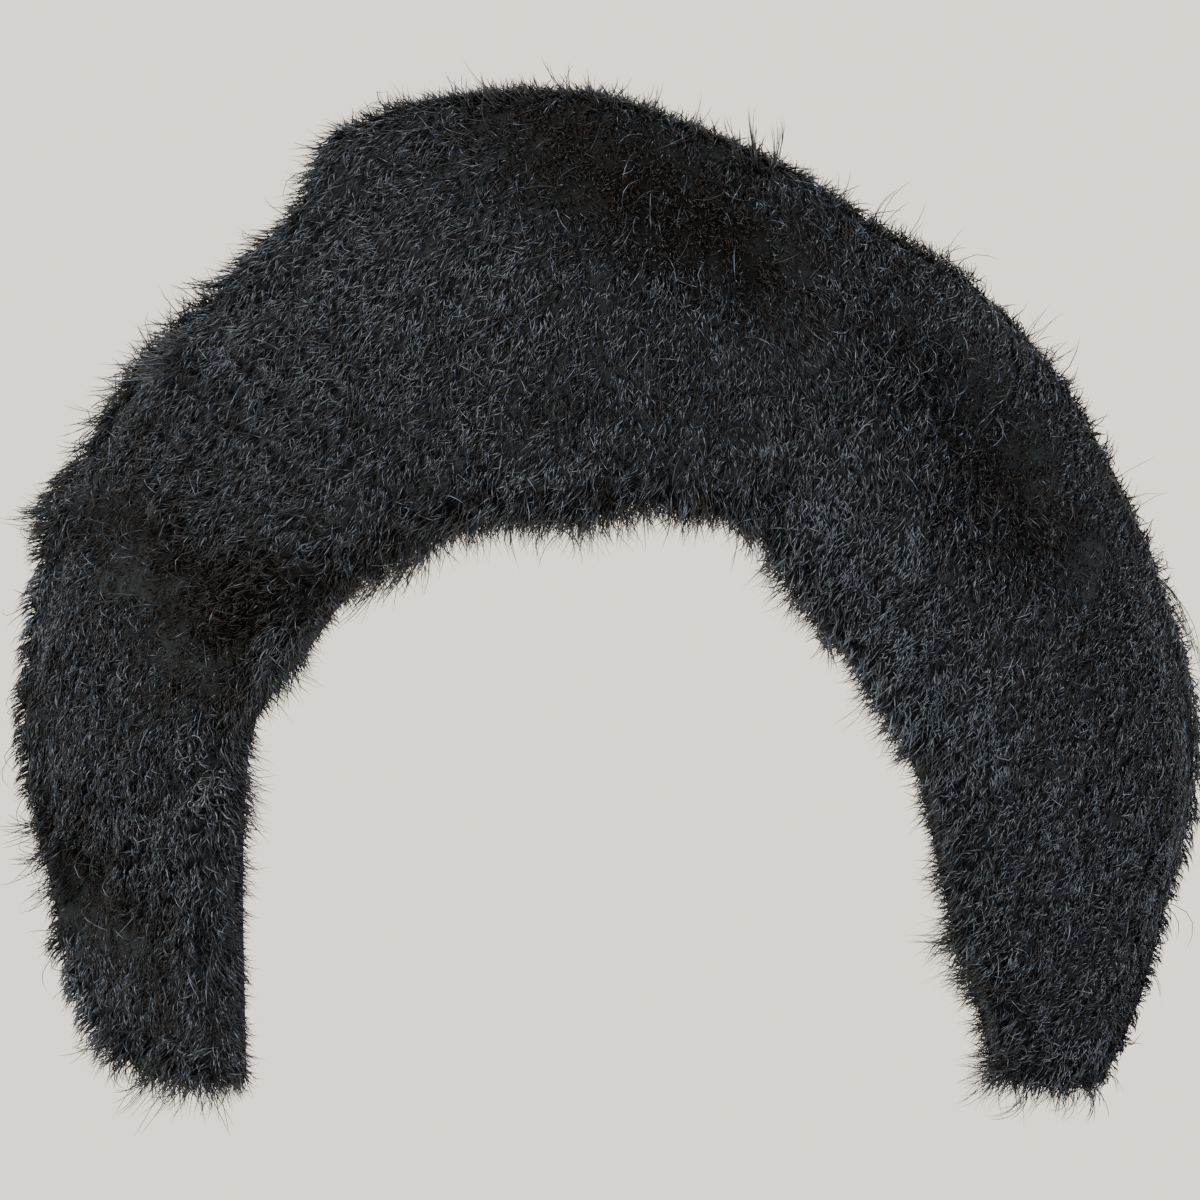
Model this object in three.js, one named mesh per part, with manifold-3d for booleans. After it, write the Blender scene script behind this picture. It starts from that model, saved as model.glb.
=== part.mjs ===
import * as THREE from "three";
import { mergeVertices } from "three/addons/utils/BufferGeometryUtils.js";
import Module from "manifold-3d";

// A false moustache of the horseshoe shape: short combed hair on a net backing, in its worn form.
// Millimetres. The front is -Y and up is +Z. The origin is on the back of the net, at the middle of
// the lip band. Every shape is laid out flat first, as the net is cut: "around" is measured along the
// cloth from the middle of the lip, "up" is measured from the origin, and "height" stands off the
// back of the net. One function then bends the flat shape into its worn form.

// Driving dimensions
const FLAT_WIDTH = 120;
const HEIGHT = 84;
const WORN_RADIUS = 58;
const LIP_LEAN = 1.5;
const TAIL_LEAN = 7;
const NET_THICKNESS = 1;
const PIECE_GAP = 0.3;
const PILE_DEPTH = 4.6;
const CREASE_WIDTH = 2.6;
const LOCK_LENGTH = 12;
const LOCK_WIDTH = 5;
const LOCK_RISE = 0.8;
const NET_HOLE_DIAMETER = 1.2;
const NET_HOLE_INSET = 1.5;

// Counts
const SECTIONS = 48;
const STEPS_ACROSS = 6;
const LOCK_ROWS = 13;
const LOCKS_IN_A_ROW = 16;
const FRINGE_LOCKS = 92;
const NET_HOLES = 9;
const NET_HOLE_SIDES = 6;

// Sections from the tip of one tail, over the lip, to the tip of the other. Places are shares of
// FLAT_WIDTH and HEIGHT. Comb is the lie of the hair in degrees from straight down, positive towards
// -X. Pile is a share of PILE_DEPTH, and bare is the share of the section that stays net at its outer
// edge.
const SECTION_COLUMNS = [
  "outerAround", "outerUp", "innerAround", "innerUp", "outerComb", "innerComb", "pile", "bare",
];
const SECTION_TABLE = [
  [-0.372, -0.762, -0.258, -0.786, 10, 8, 0.62, 0.03],
  [-0.409, -0.690, -0.257, -0.690, 20, 12, 0.80, 0.03],
  [-0.446, -0.575, -0.256, -0.590, 22, 14, 0.92, 0.03],
  [-0.459, -0.465, -0.252, -0.495, 24, 14, 0.95, 0.03],
  [-0.456, -0.345, -0.240, -0.415, 34, 20, 1.00, 0.03],
  [-0.434, -0.225, -0.194, -0.345, 46, 32, 1.00, 0.03],
  [-0.389, -0.110, -0.151, -0.275, 50, 36, 1.00, 0.03],
  [-0.311, -0.017, -0.095, -0.230, 51, 41, 1.00, 0.03],
  [-0.227, 0.055, -0.053, -0.210, 53, 35, 1.00, 0.03],
  [-0.186, 0.118, -0.020, -0.207, 58, 25, 0.95, 0.03],
  [-0.160, 0.182, 0.005, -0.206, 52, 15, 0.90, 0.03],
  [-0.080, 0.217, 0.022, -0.204, 35, 5, 0.92, 0.03],
  [0.022, 0.220, 0.038, -0.198, 6, 0, 0.90, 0.03],
  [0.097, 0.184, 0.065, -0.188, 0, 0, 0.90, 0.03],
  [0.157, 0.147, 0.090, -0.198, -6, -4, 0.95, 0.03],
  [0.220, 0.090, 0.122, -0.207, -12, -8, 1.00, 0.03],
  [0.294, 0.038, 0.149, -0.240, -6, -5, 1.00, 0.03],
  [0.370, -0.050, 0.184, -0.312, 8, 6, 1.00, 0.04],
  [0.444, -0.180, 0.212, -0.360, 26, 19, 0.98, 0.06],
  [0.489, -0.280, 0.240, -0.417, 36, 28, 0.95, 0.08],
  [0.525, -0.385, 0.262, -0.480, 44, 32, 0.92, 0.09],
  [0.527, -0.500, 0.274, -0.555, 54, 42, 0.90, 0.10],
  [0.489, -0.613, 0.286, -0.620, 58, 49, 0.85, 0.12],
  [0.459, -0.706, 0.302, -0.686, 62, 54, 0.72, 0.15],
  [0.418, -0.790, 0.320, -0.780, 68, 62, 0.55, 0.18],
];

// Partings, where the hair lies apart and the pile dips along a line. Places are shares as above,
// and dip is a share of the pile.
const CREASE_COLUMNS = ["fromAround", "fromUp", "toAround", "toUp", "dip"];
const CREASE_TABLE = [
  [-0.340, -0.200, -0.210, -0.330, 0.45],
  [-0.470, -0.500, -0.360, -0.590, 0.40],
  [-0.030, 0.190, 0.060, 0.110, 0.35],
  [0.140, 0.040, 0.140, -0.010, 0.40],
  [0.026, -0.150, 0.040, -0.195, 0.50],
  [0.275, -0.110, 0.375, -0.240, 0.35],
];

// One lock of hair from root to tip. Width is a share of LOCK_WIDTH. Ridge, flank and foot are the
// heights of its back, its shoulders and its underside, as shares of the way from the foot of the
// pile to the lock's crown.
const LOCK_COLUMNS = ["along", "width", "ridge", "flank", "foot"];
const LOCK_TABLE = [
  [0.00, 0.50, 0.60, 0.40, 0.08],
  [0.30, 1.00, 0.94, 0.66, 0.08],
  [0.66, 0.85, 1.00, 0.70, 0.10],
  [1.00, 0.26, 0.62, 0.50, 0.26],
];

const toRecords = (columns, table) =>
  table.map((row) => Object.fromEntries(columns.map((column, index) => [column, row[index]])));
const sectionRows = toRecords(SECTION_COLUMNS, SECTION_TABLE);
const creaseRows = toRecords(CREASE_COLUMNS, CREASE_TABLE);
const lockRows = toRecords(LOCK_COLUMNS, LOCK_TABLE);

const flatPoint = (aroundShare, upShare) => new THREE.Vector2(aroundShare * FLAT_WIDTH, upShare * HEIGHT);

// Bending the flat shape: round the lip, with the top of the band and the tails leaning back
const topOfBand = Math.max(...sectionRows.map((row) => row.outerUp)) * HEIGHT;
const depthOfTails = -Math.min(...sectionRows.map((row) => row.outerUp)) * HEIGHT;

function leanAt(up) {
  const reach = up > 0 ? topOfBand : depthOfTails;
  const amount = up > 0 ? LIP_LEAN : TAIL_LEAN;
  return { back: amount * (up / reach) ** 2, slope: (2 * amount * up) / reach ** 2 };
}

function wornPoint(flat, height) {
  const angle = flat.x / WORN_RADIUS;
  const lean = leanAt(flat.y);
  const frontwards = new THREE.Vector3(Math.sin(angle), -Math.cos(angle), lean.slope * Math.cos(angle));
  const onBack = new THREE.Vector3(
    WORN_RADIUS * Math.sin(angle),
    WORN_RADIUS * (1 - Math.cos(angle)) + lean.back,
    flat.y,
  );
  return onBack.addScaledVector(frontwards.normalize(), height);
}

// Sections between the rows of the table
function edgeCurve(side) {
  const points = sectionRows.map((row) => {
    const flat = flatPoint(row[`${side}Around`], row[`${side}Up`]);
    return new THREE.Vector3(flat.x, flat.y, 0);
  });
  return new THREE.CatmullRomCurve3(points, false, "centripetal");
}

const outerCurve = edgeCurve("outer");
const innerCurve = edgeCurve("inner");

function columnAt(column, share) {
  const place = share * (sectionRows.length - 1);
  const index = Math.min(Math.floor(place), sectionRows.length - 2);
  return THREE.MathUtils.lerp(sectionRows[index][column], sectionRows[index + 1][column], place - index);
}

function sectionAt(share) {
  const outer = outerCurve.getPoint(share);
  const inner = innerCurve.getPoint(share);
  return {
    outer: new THREE.Vector2(outer.x, outer.y),
    inner: new THREE.Vector2(inner.x, inner.y),
    outerComb: columnAt("outerComb", share),
    innerComb: columnAt("innerComb", share),
    pile: columnAt("pile", share),
    bare: columnAt("bare", share),
  };
}

const sections = Array.from({ length: SECTIONS + 1 }, (_, index) => sectionAt(index / SECTIONS));
const sharesAcross = Array.from({ length: STEPS_ACROSS + 1 }, (_, step) => step / STEPS_ACROSS);

const acrossSection = (section, across) => section.inner.clone().lerp(section.outer, across);

// A closed body through rings of points that all have the same number of points
function bodyThroughRings(rings) {
  const ringSize = rings[0].length;
  const points = rings.flat();
  const triangles = [];
  for (let ring = 0; ring < rings.length - 1; ring += 1) {
    for (let side = 0; side < ringSize; side += 1) {
      const near = ring * ringSize + side;
      const nearNext = ring * ringSize + ((side + 1) % ringSize);
      const far = near + ringSize;
      const farNext = nearNext + ringSize;
      triangles.push(near, far, farNext, near, farNext, nearNext);
    }
  }
  addCap(points, triangles, 0, ringSize, false);
  addCap(points, triangles, (rings.length - 1) * ringSize, ringSize, true);
  const geometry = new THREE.BufferGeometry().setFromPoints(points);
  geometry.setIndex(triangles);
  return facingOut(geometry);
}

// Closes one end of a body with a fan of triangles round the middle of its ring
function addCap(points, triangles, firstPoint, ringSize, isFarEnd) {
  const middle = points.length;
  const ring = points.slice(firstPoint, firstPoint + ringSize);
  points.push(ring.reduce((sum, point) => sum.addScaledVector(point, 1 / ringSize), new THREE.Vector3()));
  for (let side = 0; side < ringSize; side += 1) {
    const here = firstPoint + side;
    const next = firstPoint + ((side + 1) % ringSize);
    triangles.push(...(isFarEnd ? [middle, next, here] : [middle, here, next]));
  }
}

// Turns every triangle round if a body's faces point inwards
function facingOut(geometry) {
  const position = geometry.getAttribute("position");
  const corners = [0, 1, 2].map(() => new THREE.Vector3());
  const index = Array.from(geometry.getIndex().array);
  let volume = 0;
  for (let first = 0; first < index.length; first += 3) {
    corners.forEach((corner, offset) => corner.fromBufferAttribute(position, index[first + offset]));
    volume += corners[0].dot(corners[1].clone().cross(corners[2]));
  }
  if (volume < 0) geometry.setIndex(index.reverse());
  return geometry;
}

// Joining and cutting
const wasm = await Module();
wasm.setup();

function toSolid(geometry) {
  const merged = mergeVertices(geometry, 1e-5);
  return new wasm.Manifold(
    new wasm.Mesh({
      numProp: 3,
      vertProperties: new Float32Array(merged.getAttribute("position").array),
      triVerts: new Uint32Array(merged.getIndex().array),
    }),
  );
}

function toGeometry(solid) {
  const mesh = solid.getMesh();
  const geometry = new THREE.BufferGeometry();
  geometry.setAttribute("position", new THREE.BufferAttribute(mesh.vertProperties, 3));
  geometry.setIndex(Array.from(mesh.triVerts));
  geometry.computeVertexNormals();
  return geometry;
}

// The net backing: a thin curved wall, with see-through meshes along the bare edge of one tail
function netWall() {
  const rings = sections.map((section) => {
    const back = sharesAcross.map((share) => wornPoint(acrossSection(section, share), 0));
    const front = sharesAcross.map((share) => wornPoint(acrossSection(section, share), NET_THICKNESS));
    return [...back, ...front.reverse()];
  });
  return bodyThroughRings(rings);
}

const FIRST_HOLE_SHARE = 0.87;
const LAST_HOLE_SHARE = 0.985;

function netHole(share) {
  const section = sectionAt(share);
  const inwards = section.inner.clone().sub(section.outer).setLength(NET_HOLE_INSET);
  const centre = section.outer.clone().add(inwards);
  const ringAt = (height) =>
    Array.from({ length: NET_HOLE_SIDES }, (_, side) => {
      const turn = (2 * Math.PI * side) / NET_HOLE_SIDES;
      const corner = new THREE.Vector2(Math.cos(turn), Math.sin(turn)).multiplyScalar(NET_HOLE_DIAMETER / 2);
      return wornPoint(corner.add(centre), height);
    });
  return bodyThroughRings([ringAt(-NET_THICKNESS), ringAt(2 * NET_THICKNESS)]);
}

function netBacking() {
  let net = toSolid(netWall());
  for (let hole = 0; hole < NET_HOLES; hole += 1) {
    const share = THREE.MathUtils.lerp(FIRST_HOLE_SHARE, LAST_HOLE_SHARE, hole / (NET_HOLES - 1));
    net = net.subtract(toSolid(netHole(share)));
  }
  return toGeometry(net);
}

// The pile body: it rises steeply from its two edges, is nearly level between them and dips at each
// parting
const pileFloor = NET_THICKNESS + PIECE_GAP;
const EDGE_DEPTH_SHARE = 0.35;

function dipAt(flat) {
  return creaseRows.reduce((left, row) => {
    const from = flatPoint(row.fromAround, row.fromUp);
    const run = flatPoint(row.toAround, row.toUp).sub(from);
    const along = THREE.MathUtils.clamp(flat.clone().sub(from).dot(run) / run.lengthSq(), 0, 1);
    const away = flat.distanceTo(from.addScaledVector(run, along));
    return left * (1 - row.dip * Math.exp(-((away / CREASE_WIDTH) ** 2)));
  }, 1);
}

function roundedShare(across) {
  const rise = Math.sqrt(1 - Math.abs(2 * across - 1) ** 3);
  return THREE.MathUtils.lerp(EDGE_DEPTH_SHARE, 1, rise);
}

function pileBody() {
  const rings = sections.map((section) => {
    const onPile = (share) => acrossSection(section, share * (1 - section.bare));
    const back = sharesAcross.map((share) => wornPoint(onPile(share), pileFloor));
    const front = sharesAcross.map((share) => {
      const depth = PILE_DEPTH * section.pile * roundedShare(share) * dipAt(onPile(share));
      return wornPoint(onPile(share), pileFloor + depth);
    });
    return [...back, ...front.reverse()];
  });
  return bodyThroughRings(rings);
}

// The outline of the pile, laid flat, and what lies inside it
const pileOutline = [
  ...sections.map((section) => acrossSection(section, 1 - section.bare)),
  ...sections.map((section) => section.inner).reverse(),
];

function isOnPile(flat) {
  let inside = false;
  pileOutline.forEach((corner, index) => {
    const next = pileOutline[(index + 1) % pileOutline.length];
    if (corner.y > flat.y === next.y > flat.y) return;
    const crossing = corner.x + ((flat.y - corner.y) * (next.x - corner.x)) / (next.y - corner.y);
    if (flat.x < crossing) inside = !inside;
  });
  return inside;
}

// The section nearest to a flat point, and the share across it
function placeOnBand(flat) {
  let nearest = { away: Infinity };
  sections.forEach((section) => {
    const run = section.outer.clone().sub(section.inner);
    const across = THREE.MathUtils.clamp(flat.clone().sub(section.inner).dot(run) / run.lengthSq(), 0, 1);
    const away = flat.distanceTo(acrossSection(section, across));
    if (away < nearest.away) nearest = { section, across, away };
  });
  return nearest;
}

function headingAt(degrees) {
  const turn = THREE.MathUtils.degToRad(degrees);
  return new THREE.Vector2(-Math.sin(turn), -Math.cos(turn));
}

function combAt(flat) {
  const { section, across } = placeOnBand(flat);
  return THREE.MathUtils.lerp(section.innerComb, section.outerComb, across);
}

// A repeatable number from -1 to 1 for the small differences between locks
const wobble = (seed) => Math.sin(seed * 12.9898 + Math.sin(seed * 4.1414) * 78.233);

// Locks: flat tapered tufts that lie along the comb and stand a little proud of the pile
const COMB_WANDER_DEGREES = 9;
const LOCK_CURL_DEGREES = 10;
const LENGTH_WANDER_SHARE = 0.15;

function lock(root, length, seed) {
  const comb = combAt(root) + COMB_WANDER_DEGREES * wobble(seed + 0.3);
  const curl = LOCK_CURL_DEGREES * wobble(seed + 0.6);
  const rise = LOCK_RISE * (1 + wobble(seed + 0.9) / 2);
  const crown = PILE_DEPTH * placeOnBand(root).section.pile * dipAt(root) + rise;
  const middle = root.clone();
  let walked = 0;
  const rings = lockRows.map((row) => {
    const heading = headingAt(comb + curl * row.along);
    const sideways = new THREE.Vector2(-heading.y, heading.x).multiplyScalar((LOCK_WIDTH * row.width) / 2);
    middle.addScaledVector(heading, (row.along - walked) * length);
    walked = row.along;
    return [
      wornPoint(middle, pileFloor + crown * row.ridge),
      wornPoint(middle.clone().add(sideways), pileFloor + crown * row.flank),
      wornPoint(middle.clone().add(sideways), pileFloor + crown * row.foot),
      wornPoint(middle.clone().sub(sideways), pileFloor + crown * row.foot),
      wornPoint(middle.clone().sub(sideways), pileFloor + crown * row.flank),
    ];
  });
  return bodyThroughRings(rings);
}

// Hair rooted at the edge hangs over it by a share of its own length
const FRINGE_LENGTH_SHARE = 0.66;
const FRINGE_OVERHANG_SHARE = 0.22;
const FRINGE_LENGTH = FRINGE_LENGTH_SHARE * LOCK_LENGTH;
const FRINGE_OVERHANG = FRINGE_OVERHANG_SHARE * LOCK_LENGTH;

// How far a lock can run from its root before it would hang over the edge further than the fringe
const ROOM_STEPS = 24;
const ROOM_STEP = LOCK_LENGTH / ROOM_STEPS;

function roomAhead(root) {
  const heading = headingAt(combAt(root));
  const ahead = root.clone();
  let room = 0;
  while (room < LOCK_LENGTH && isOnPile(ahead)) {
    ahead.addScaledVector(heading, ROOM_STEP);
    room += ROOM_STEP;
  }
  return room + FRINGE_OVERHANG / 2;
}

// Locks all over the pile, on a staggered grid with each root moved a little
const ROOT_WANDER_SHARE = 0.22;
const EDGE_CLEARANCE_SHARE = 0.3;
const SHORTEST_LOCK_SHARE = 0.6;

function pileLocks() {
  const rowHeight = HEIGHT / LOCK_ROWS;
  const columnWidth = FLAT_WIDTH / LOCKS_IN_A_ROW;
  const locks = [];
  for (let row = -LOCK_ROWS; row <= LOCK_ROWS; row += 1) {
    for (let column = -LOCKS_IN_A_ROW; column <= LOCKS_IN_A_ROW; column += 1) {
      const seed = row * (2 * LOCKS_IN_A_ROW + 1) + column;
      const stagger = row % 2 === 0 ? 0 : 0.5;
      const root = new THREE.Vector2(
        (column + stagger + ROOT_WANDER_SHARE * wobble(seed + 0.1)) * columnWidth,
        (row + ROOT_WANDER_SHARE * wobble(seed + 0.2)) * rowHeight,
      );
      const clearance = EDGE_CLEARANCE_SHARE * LOCK_WIDTH;
      const beside = [-clearance, clearance].map((shift) => root.clone().setX(root.x + shift));
      const length = Math.min(LOCK_LENGTH * (1 + LENGTH_WANDER_SHARE * wobble(seed)), roomAhead(root));
      const isLongEnough = length > SHORTEST_LOCK_SHARE * LOCK_LENGTH;
      if (isLongEnough && beside.every(isOnPile)) locks.push(lock(root, length, seed));
    }
  }
  return locks;
}

// The fringe: shorter locks along the outline, wherever the comb runs out over the edge
const LEAST_OUTWARD_SHARE = 0.3;
const FIRST_FRINGE_SEED = 1000;

function fringeLocks() {
  const lengths = pileOutline.map((corner, index) =>
    corner.distanceTo(pileOutline[(index + 1) % pileOutline.length]),
  );
  const spacing = lengths.reduce((sum, length) => sum + length, 0) / FRINGE_LOCKS;
  const locks = [];
  let untilNext = spacing / 2;
  pileOutline.forEach((corner, index) => {
    const next = pileOutline[(index + 1) % pileOutline.length];
    const run = next.clone().sub(corner).normalize();
    const outward = new THREE.Vector2(-run.y, run.x);
    let walked = untilNext;
    for (; walked < lengths[index]; walked += spacing) {
      const edge = corner.clone().addScaledVector(run, walked);
      const seed = FIRST_FRINGE_SEED + locks.length + index;
      const heading = headingAt(combAt(edge));
      const outwardShare = heading.dot(outward);
      const overhang = FRINGE_OVERHANG * outwardShare * (1 + LENGTH_WANDER_SHARE * wobble(seed));
      const root = edge.clone().addScaledVector(heading, overhang - FRINGE_LENGTH);
      if (outwardShare > LEAST_OUTWARD_SHARE && isOnPile(root)) locks.push(lock(root, FRINGE_LENGTH, seed));
    }
    untilNext = walked - lengths[index];
  });
  return locks;
}

function hairPile() {
  const locks = [...pileLocks(), ...fringeLocks()];
  return toGeometry(locks.reduce((joined, tuft) => joined.add(toSolid(tuft)), toSolid(pileBody())));
}

// Materials
const knittedNet = new THREE.MeshStandardMaterial({ color: 0x17171a, roughness: 0.9, metalness: 0 });
const falseHair = new THREE.MeshStandardMaterial({ color: 0x1f2023, roughness: 0.55, metalness: 0 });

function namedMesh(name, geometry, material) {
  const mesh = new THREE.Mesh(geometry, material);
  mesh.name = name;
  return mesh;
}

const group = new THREE.Group();
group.add(namedMesh("net_backing", netBacking(), knittedNet));
group.add(namedMesh("hair_pile", hairPile(), falseHair));

export default group;
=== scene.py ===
"""A black false moustache of the horseshoe shape, in its worn form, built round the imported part.

Short synthetic hair stands on a knitted net. The net keeps its own solid. The solid of the hair is
replaced by a dense dark underfur, and by many thousands of separate hairs that grow out of it.
Cut and frayed threads of the net stand along its bare edge.
Metres. The front is -Y and up is +Z.
"""

import math

import bpy
import numpy as np
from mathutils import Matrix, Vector
from mathutils.bvhtree import BVHTree
from mathutils.kdtree import KDTree


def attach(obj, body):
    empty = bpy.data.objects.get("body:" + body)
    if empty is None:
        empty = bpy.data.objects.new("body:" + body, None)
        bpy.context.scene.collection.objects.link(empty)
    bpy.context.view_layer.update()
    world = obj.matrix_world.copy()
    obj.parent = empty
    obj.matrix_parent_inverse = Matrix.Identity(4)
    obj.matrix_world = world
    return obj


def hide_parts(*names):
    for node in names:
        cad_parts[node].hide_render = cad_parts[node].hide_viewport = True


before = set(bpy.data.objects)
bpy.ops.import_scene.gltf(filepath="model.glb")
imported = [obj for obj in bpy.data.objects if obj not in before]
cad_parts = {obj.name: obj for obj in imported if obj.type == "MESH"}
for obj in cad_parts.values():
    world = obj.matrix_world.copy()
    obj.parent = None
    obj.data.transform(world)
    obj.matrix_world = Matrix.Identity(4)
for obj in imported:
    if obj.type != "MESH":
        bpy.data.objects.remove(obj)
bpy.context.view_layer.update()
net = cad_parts["net_backing"]
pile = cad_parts["hair_pile"]

MM = 0.001
WORN_RADIUS = 58 * MM

# The camera stands where the photograph was taken from
PHOTO_SIDE = 1200
PIXELS_PER_METRE = 11700
CAMERA_DISTANCE = 0.7
CAMERA_AZIMUTH = math.radians(7)
CAMERA_ELEVATION = math.radians(-3)
AIM_TO_THE_RIGHT = 3.4 * MM
AIM_BELOW = 24.8 * MM
SENSOR_WIDTH = 36
FOCAL_PIXELS = PIXELS_PER_METRE * CAMERA_DISTANCE

towards_origin = Vector((
    -math.sin(CAMERA_AZIMUTH) * math.cos(CAMERA_ELEVATION),
    math.cos(CAMERA_AZIMUTH) * math.cos(CAMERA_ELEVATION),
    -math.sin(CAMERA_ELEVATION),
))
level_right = Vector((math.cos(CAMERA_AZIMUTH), math.sin(CAMERA_AZIMUTH), 0))
camera_place = -CAMERA_DISTANCE * towards_origin
aim = AIM_TO_THE_RIGHT * level_right - AIM_BELOW * level_right.cross(towards_origin)
camera_turn = (aim - camera_place).to_track_quat("-Z", "Y")
view_right, view_up, view_back = (np.array(camera_turn @ Vector(axis)) for axis in np.eye(3))


def add_camera():
    bpy.ops.object.camera_add(location=camera_place, rotation=camera_turn.to_euler())
    camera = bpy.context.object
    camera.name = "photo_camera"
    camera.data.sensor_width = SENSOR_WIDTH
    camera.data.lens = SENSOR_WIDTH * FOCAL_PIXELS / PHOTO_SIDE
    camera.data.clip_start = 0.01
    bpy.context.scene.camera = camera


def in_photo(points):
    """The photograph's pixels where points in space show."""
    away = points - np.array(camera_place)
    depth = -(away @ view_back)
    across = PHOTO_SIDE / 2 + FOCAL_PIXELS * (away @ view_right) / depth
    down = PHOTO_SIDE / 2 - FOCAL_PIXELS * (away @ view_up) / depth
    return np.column_stack([across, down])


def ray_through(pixel):
    across = (pixel[0] - PHOTO_SIDE / 2) / FOCAL_PIXELS
    up = (PHOTO_SIDE / 2 - pixel[1]) / FOCAL_PIXELS
    return Vector(across * view_right + up * view_up - view_back).normalized()


# How the hair lies in the photograph: degrees from straight down, positive to the left
LIE_OF_THE_HAIR = [
    # across, down, lie
    (330, 160, 57), (480, 130, 62), (600, 150, 42), (690, 190, 15), (775, 215, -12), (380, 230, 45),
    (540, 260, 37), (640, 300, 15), (740, 340, 0), (810, 330, -15), (880, 300, 14), (950, 280, 42),
    (1020, 340, 22), (170, 350, 51), (270, 400, 43), (400, 400, 37), (520, 430, 34), (610, 420, 19),
    (740, 460, 5), (870, 460, 10), (945, 400, 28), (1060, 430, 46), (100, 440, 41), (165, 530, 66),
    (235, 540, 50), (380, 540, 40), (480, 520, 36), (830, 560, 19), (900, 610, 28), (1000, 560, 16),
    (1060, 600, 28), (1140, 560, 50), (1145, 640, 33), (60, 600, 40), (125, 620, 27),
    (220, 630, 44), (30, 690, 12), (100, 720, 26), (180, 720, 32), (950, 740, 22), (1040, 770, 31),
    (1150, 770, 30), (60, 800, 6), (130, 830, 12), (215, 800, 22), (955, 860, 28), (1080, 880, 35),
    (90, 900, 14), (165, 960, 14), (85, 990, 28), (160, 1060, 26), (1000, 980, 42), (1080, 970, 50),
    (1020, 1060, 56), (1100, 1050, 40),
]

# Partings and hollows, where the hair stands up, looks dark and shows less of its length. Stand is
# the share of the way to upright. It also paints the colour of hair and underfur darker and warmer:
# painted shade in the hollows, and painted shadow of the nose in the rows just under it. A negative
# stand changes no hair's form and only paints the hair lighter and cooler, as painted sheen.
STANDING_HAIR = [
    # across, down, radius, stand
    (560, 145, 66, 0.85), (640, 185, 70, 0.95), (705, 220, 60, 0.85), (500, 115, 40, 0.45),
    (760, 280, 44, 0.70), (800, 250, 40, 0.50), (390, 300, 80, -0.35), (790, 545, 60, -0.50),
    (300, 410, 80, -0.20), (480, 450, 50, -0.20), (1050, 860, 110, -0.40), (1120, 640, 50, -0.25),
    (390, 220, 55, -0.30), (265, 290, 55, -0.30), (520, 295, 55, -0.30), (570, 465, 28, -0.50),
    (372, 475, 36, -0.40), (827, 465, 45, -0.60), (892, 545, 45, -0.45), (930, 695, 60, -0.60),
    (900, 310, 55, 0.50), (177, 925, 42, 0.30), (250, 660, 36, 0.25), (960, 770, 45, -0.20),
    (60, 690, 50, 0.15), (112, 470, 36, 0.25), (172, 555, 42, 0.95), (245, 598, 42, 0.90),
    (300, 572, 36, 0.40), (205, 625, 40, 0.75), (225, 680, 34, 0.35), (140, 505, 32, 0.50),
    (68, 600, 32, -0.60), (92, 500, 24, -0.40), (50, 550, 30, -0.50), (40, 740, 40, -0.30),
    (1050, 1040, 55, -0.45), (892, 655, 40, -0.50), (55, 830, 40, 0.80), (108, 878, 40, 0.85),
    (150, 925, 34, 0.45), (945, 395, 46, 0.65), (1005, 455, 50, 0.80), (1045, 545, 44, 0.75),
    (965, 520, 40, 0.55), (610, 485, 14, 0.80), (476, 487, 18, 0.60), (538, 420, 16, 0.50),
    (350, 590, 40, 0.45), (430, 540, 36, 0.40), (40, 470, 24, 0.30), (865, 660, 55, -0.70),
    (820, 530, 40, -0.35), (92, 985, 50, -0.75), (450, 320, 60, -0.25), (230, 330, 60, -0.20),
    (950, 290, 30, -0.60),
]


LIE_BLEND_PIXELS = 12
LIE_BLEND_POWER = 3.5
# How far the stand can go: down to the most painted sheen, and up to the steepest hair.
MOST_PAINTED_SHEEN = -0.9
STEEPEST = 0.95


def pixels_away(points, rows):
    """How many pixels of the photograph lie between each point and each row's place."""
    return np.linalg.norm(in_photo(points)[:, None, :] - rows[None, :, :2], axis=2)


def lie_at(points):
    """The lie of the hair at points, by their distance from the places in the table."""
    guide = np.array(LIE_OF_THE_HAIR, float)
    weight = 1 / (pixels_away(points, guide) + LIE_BLEND_PIXELS) ** LIE_BLEND_POWER
    turn = np.radians(guide[:, 2])
    return np.arctan2(weight @ np.sin(turn), weight @ np.cos(turn))


def soft_spots(points, table):
    """What a table's round, soft-edged spots add up to at points."""
    rows = np.array(table, float)
    away = pixels_away(points, rows)
    return (rows[:, 3] * np.exp(-((away / rows[:, 2]) ** 2))).sum(axis=1)


def stand_at(points):
    return np.clip(soft_spots(points, STANDING_HAIR), MOST_PAINTED_SHEEN, STEEPEST)


# Numbers that repeat on every run
def soft_noise(points, size, seed):
    """Smooth noise from -1 to 1, with lumps about size across."""
    lattice = np.random.default_rng(seed).uniform(-1, 1, (32, 32, 32))
    place = points / size + 500
    cell = np.floor(place).astype(int)
    share = place - cell
    share = share * share * (3 - 2 * share)
    total = np.zeros(len(points))
    for corner in np.ndindex(2, 2, 2):
        weight = np.prod(np.where(corner, share, 1 - share), axis=1)
        total += weight * lattice[tuple(((cell + corner) % 32).T)]
    return total


# What carries the hair: the net's front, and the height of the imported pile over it
def triangles_of(piece):
    mesh = piece.data
    mesh.calc_loop_triangles()
    places = np.empty(len(mesh.vertices) * 3)
    mesh.vertices.foreach_get("co", places)
    corners = np.empty(len(mesh.loop_triangles) * 3, np.int64)
    mesh.loop_triangles.foreach_get("vertices", corners)
    return places.reshape(-1, 3), corners.reshape(-1, 3)


def tree_of(piece):
    places, corners = triangles_of(piece)
    return BVHTree.FromPolygons(places.tolist(), corners.tolist())


def length_of(vectors):
    return np.linalg.norm(vectors, axis=1, keepdims=True)


def unit(vectors):
    return vectors / length_of(vectors)


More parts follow.
